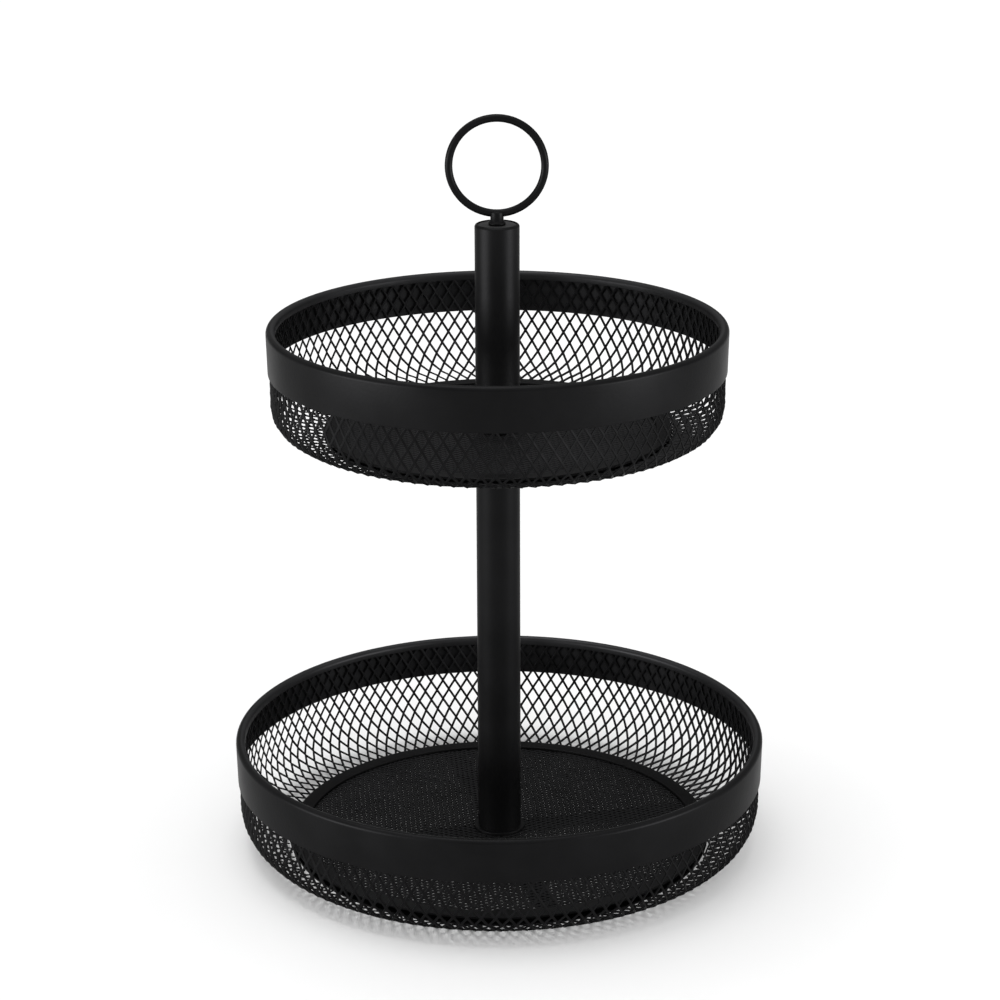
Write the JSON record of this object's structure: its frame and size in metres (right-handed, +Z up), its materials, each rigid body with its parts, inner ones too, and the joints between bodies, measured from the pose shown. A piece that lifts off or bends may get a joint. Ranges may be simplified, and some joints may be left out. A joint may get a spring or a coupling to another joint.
{
  "type": "tiered wire basket",
  "caption": "Free-standing tiered fruit basket: round black expanded-metal bowls with smooth rim bands on a central pole, topped by a ring handle.",
  "frame": {"origin": "on the surface that the basket stands on, at the centre of the pole", "axes": "+Z up along the pole, +X along the plane of the ring handle, -Y towards the viewer of the picture"},
  "size_m": [0.27, 0.27, 0.3765],
  "materials": {
    "black_powder_coat": "satin",
    "plated_steel": "satin"
  },
  "bodies": {
    "root": {"handle_ring": "black_powder_coat", "handle_boss": "black_powder_coat", "pole_cap": "black_powder_coat", "upper_tube": "black_powder_coat", "upper_tube_foot": "plated_steel", "upper_foot_washer": "black_powder_coat", "upper_rim_band": "black_powder_coat", "upper_side_mesh": "black_powder_coat", "upper_base_ring": "black_powder_coat", "upper_floor_mesh": "black_powder_coat", "upper_cross_brace": "black_powder_coat", "tie_stud": "plated_steel", "lower_tube_head": "plated_steel", "lower_tube": "black_powder_coat", "lower_tube_foot": "plated_steel", "lower_foot_washer": "black_powder_coat", "lower_rim_band": "black_powder_coat", "lower_side_mesh": "black_powder_coat", "lower_base_ring": "black_powder_coat", "lower_floor_mesh": "black_powder_coat", "lower_cross_brace": "black_powder_coat", "base_screw": "plated_steel"}
  },
  "joints": []
}
